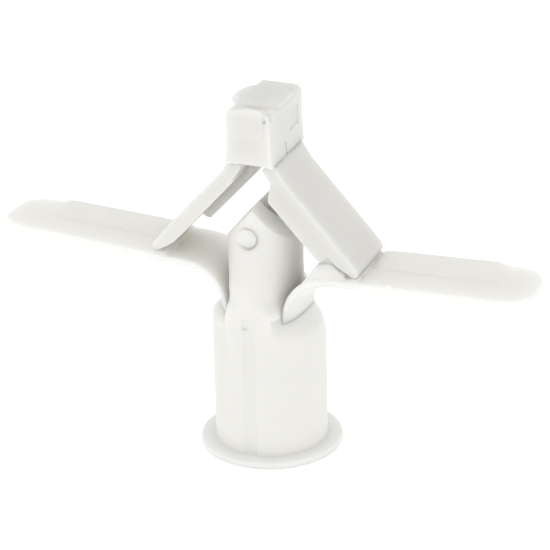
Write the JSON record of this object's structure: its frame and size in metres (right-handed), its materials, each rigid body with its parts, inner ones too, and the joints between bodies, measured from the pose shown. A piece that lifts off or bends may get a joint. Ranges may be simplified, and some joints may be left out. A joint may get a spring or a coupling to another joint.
{
  "type": "butterfly toggle anchor",
  "caption": "Moulded hollow-wall toggle anchor: a flanged sleeve and guide tube, with hinged wings that links and a screw-drawn head pull flat against the back of the wall.",
  "frame": {"origin": "centre of the flange's underside, which is the room side when the anchor is fitted", "axes": "+Z along the sleeve into the wall, +X along the right wing, +Y square to the hinges' plane of motion"},
  "size_m": [0.05, 0.0126, 0.033],
  "materials": {
    "collar_plastic": "satin natural polypropylene",
    "right_wing_plastic": "satin natural polypropylene",
    "left_wing_plastic": "satin natural polypropylene",
    "right_link_plastic": "satin natural polypropylene",
    "left_link_plastic": "satin natural polypropylene",
    "head_plastic": "satin natural polypropylene"
  },
  "bodies": {
    "collar": {"collar": "collar_plastic"},
    "right_wing": {"right_wing": "right_wing_plastic"},
    "left_wing": {"left_wing": "left_wing_plastic"},
    "right_link": {"right_link": "right_link_plastic"},
    "left_link": {"left_link": "left_link_plastic"},
    "head": {"head": "head_plastic"}
  },
  "joints": [
    {"name": "right_wing_fold", "type": "hinge", "parent": "collar", "child": "right_wing", "pos_m": [0.004, 0, 0.0169], "axis": [0, -1, 0], "range_deg": [-3.6, 86.4], "stiffness_Nm_per_rad": 0.012},
    {"name": "left_wing_fold", "type": "hinge", "parent": "collar", "child": "left_wing", "pos_m": [-0.004, 0, 0.0169], "axis": [0, 1, 0], "range_deg": [-3.7, 86.5]},
    {"name": "right_link_fold", "type": "hinge", "parent": "right_wing", "child": "right_link", "pos_m": [0.0092, 0, 0.01895], "axis": [0, 1, 0], "range_deg": [-5.4, 125.3]},
    {"name": "left_link_fold", "type": "hinge", "parent": "left_wing", "child": "left_link", "pos_m": [-0.0092, 0, 0.01895], "axis": [0, -1, 0], "range_deg": [-5.4, 125.3]},
    {"name": "head_slide", "type": "slide", "parent": "collar", "child": "head", "axis": [0, 0, 1], "range_m": [-0.0003, 0.0062]}
  ],
  "couplings": [
    {"joint": "left_wing_fold", "follows": "right_wing_fold", "ratio": 1},
    {"joint": "right_link_fold", "follows": "right_wing_fold", "ratio": 1.4485},
    {"joint": "left_link_fold", "follows": "right_wing_fold", "ratio": 1.4485},
    {"joint": "head_slide", "follows": "right_wing_fold", "m_per_rad": 0.004075}
  ]
}
